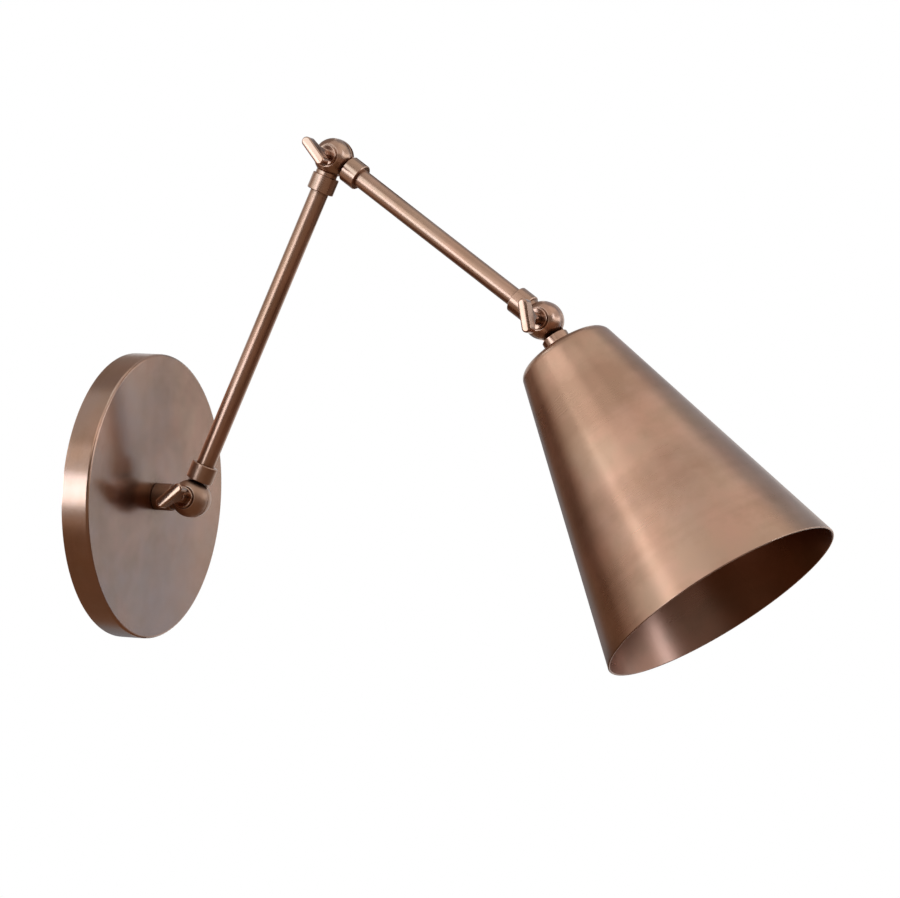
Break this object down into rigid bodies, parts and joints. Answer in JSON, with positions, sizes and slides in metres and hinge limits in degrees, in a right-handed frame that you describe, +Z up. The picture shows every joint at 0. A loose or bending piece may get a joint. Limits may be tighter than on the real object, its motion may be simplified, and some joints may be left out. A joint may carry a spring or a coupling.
{
  "type": "articulating wall light",
  "caption": "Wall light with a round backplate, tubular arms joined by ball swivels with thumb screws, and a tilting cone shade around a screw lamp socket.",
  "frame": {"origin": "centre of the wall plane behind the backplate, on the axis of the plate", "axes": "+Y into the wall, -Y into the room, +Z up, thumb screws on the -X side"},
  "size_m": [0.1524, 0.392, 0.2718],
  "materials": {
    "antique_copper": "satin patina",
    "zinc_steel": "zinc plated",
    "bright_brass": "plain",
    "wire_insulation": "matt",
    "phenolic": "moulded",
    "earth_green": "dyed"
  },
  "bodies": {
    "wall_mount": {"backplate": "antique_copper", "mounting_crossbar": "zinc_steel", "ground_screw": "earth_green", "mounting_nipple": "zinc_steel", "nipple_washer": "zinc_steel", "nipple_lock_nut": "zinc_steel", "wall_swivel_base": "antique_copper", "wall_friction_washer": "zinc_steel", "base_wires": "wire_insulation"},
    "lower_arm": {"wall_swivel_arm": "antique_copper", "lower_arm_tube": "antique_copper", "elbow_lower_half": "antique_copper", "elbow_friction_washer": "zinc_steel", "lower_arm_wires": "wire_insulation"},
    "upper_arm": {"elbow_upper_half": "antique_copper", "upper_arm_tube": "antique_copper", "shade_swivel_arm": "antique_copper", "shade_friction_washer": "zinc_steel", "upper_arm_wires": "wire_insulation"},
    "shade_head": {"shade_swivel_head": "antique_copper", "shade": "antique_copper", "shade_nipple": "zinc_steel", "shade_washer": "zinc_steel", "shade_lock_nut": "zinc_steel", "socket_cap": "antique_copper", "socket_body": "phenolic", "socket_screw_shell": "bright_brass", "socket_contact": "bright_brass", "socket_terminal_screws": "bright_brass", "head_wires": "wire_insulation"},
    "wall_thumb": {"wall_thumb_screw": "antique_copper"},
    "elbow_thumb": {"elbow_thumb_screw": "antique_copper"},
    "shade_thumb": {"shade_thumb_screw": "antique_copper"}
  },
  "joints": [
    {"name": "wall_swivel", "type": "hinge", "parent": "wall_mount", "child": "lower_arm", "pos_m": [0, -0.0361, 0], "axis": [-1, 0, 0], "range_deg": [-70, 20]},
    {"name": "elbow_swivel", "type": "hinge", "parent": "lower_arm", "child": "upper_arm", "pos_m": [0, -0.10573, 0.18428], "axis": [1, 0, 0], "range_deg": [-132, 7]},
    {"name": "shade_swivel", "type": "hinge", "parent": "upper_arm", "child": "shade_head", "pos_m": [0, -0.23223, 0.10182], "axis": [1, 0, 0], "range_deg": [-119, 70]},
    {"name": "wall_thumb_turn", "type": "hinge", "parent": "wall_mount", "child": "wall_thumb", "pos_m": [0, -0.0361, 0], "axis": [-1, 0, 0], "range_deg": [0, 270]},
    {"name": "elbow_thumb_turn", "type": "hinge", "parent": "lower_arm", "child": "elbow_thumb", "pos_m": [0, -0.10573, 0.18428], "axis": [-1, 0, 0], "range_deg": [0, 270]},
    {"name": "shade_thumb_turn", "type": "hinge", "parent": "upper_arm", "child": "shade_thumb", "pos_m": [0, -0.23223, 0.10182], "axis": [-1, 0, 0], "range_deg": [0, 270]}
  ]
}
